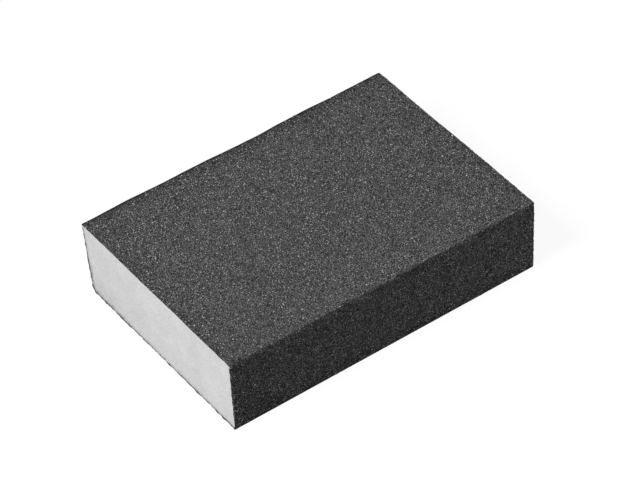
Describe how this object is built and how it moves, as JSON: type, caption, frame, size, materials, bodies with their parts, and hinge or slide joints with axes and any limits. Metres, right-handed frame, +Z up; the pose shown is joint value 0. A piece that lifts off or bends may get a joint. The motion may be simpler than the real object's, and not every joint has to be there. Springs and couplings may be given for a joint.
{
  "type": "sanding sponge",
  "caption": "Rectangular foam hand block with a dark grit coat bonded round its long sides and bare foam on its cut ends.",
  "frame": {"origin": "middle of the underside, the face that the block lies on", "axes": "+X along the block from one cut end to the other, +Y across it towards the back, +Z up to the top face"},
  "size_m": [0.1, 0.07, 0.024],
  "materials": {
    "foam": "matt, fine closed cells, cut with a blade",
    "grit_coat": "mineral grit in dark resin, rough with small glints"
  },
  "bodies": {
    "root": {"foam_block": "foam", "abrasive_coat": "grit_coat"}
  },
  "joints": []
}
